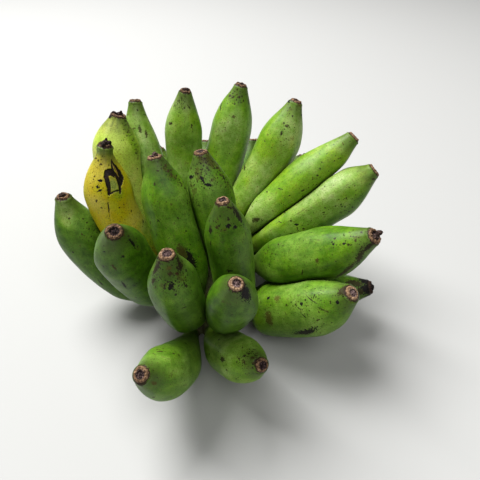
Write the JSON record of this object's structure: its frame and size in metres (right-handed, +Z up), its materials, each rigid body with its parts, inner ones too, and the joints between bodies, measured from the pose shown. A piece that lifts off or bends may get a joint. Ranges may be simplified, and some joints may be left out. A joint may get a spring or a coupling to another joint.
{
  "type": "bunch of bananas",
  "caption": "Bunch of short, thick green bananas radiating all round from a cut piece of stalk, with yellow where ripening starts.",
  "frame": {"origin": "centre of the flat cut face under the piece of stalk, which is what the bunch rests on", "axes": "+Z up out of the cut face through the stalk, +Y to the back of the pictured view, +X to its right"},
  "size_m": [0.2683, 0.2832, 0.1749],
  "materials": {
    "skin_green": "waxy, half gloss unripe peel",
    "skin_yellow": "waxy, half gloss ripening peel",
    "stalk": "dull, fibrous, drying stalk"
  },
  "bodies": {
    "root": {"crown": "stalk", "fruit_left_low": "skin_green", "fruit_left_yellow": "skin_yellow", "fruit_back_left_outer": "skin_green", "fruit_back_left_inner": "skin_green", "fruit_back_middle": "skin_green", "fruit_back_right_inner": "skin_green", "fruit_back_right_outer": "skin_green", "fruit_right_upper": "skin_green", "fruit_right_middle": "skin_green", "fruit_right_lower": "skin_green", "fruit_right_low_front": "skin_green", "fruit_right_low_back": "skin_green", "fruit_front_left_tall": "skin_green", "fruit_front_middle_tall": "skin_green", "fruit_front_right_tall": "skin_green", "fruit_front_left_outer": "skin_green", "fruit_front_left_inner": "skin_green", "fruit_front_right": "skin_green", "fruit_front_low_left": "skin_green", "fruit_front_low_right": "skin_green", "fruit_back_low_left": "skin_green", "fruit_back_low_middle": "skin_green", "fruit_back_low_right": "skin_green", "fruit_right_low_rear": "skin_green"}
  },
  "joints": []
}
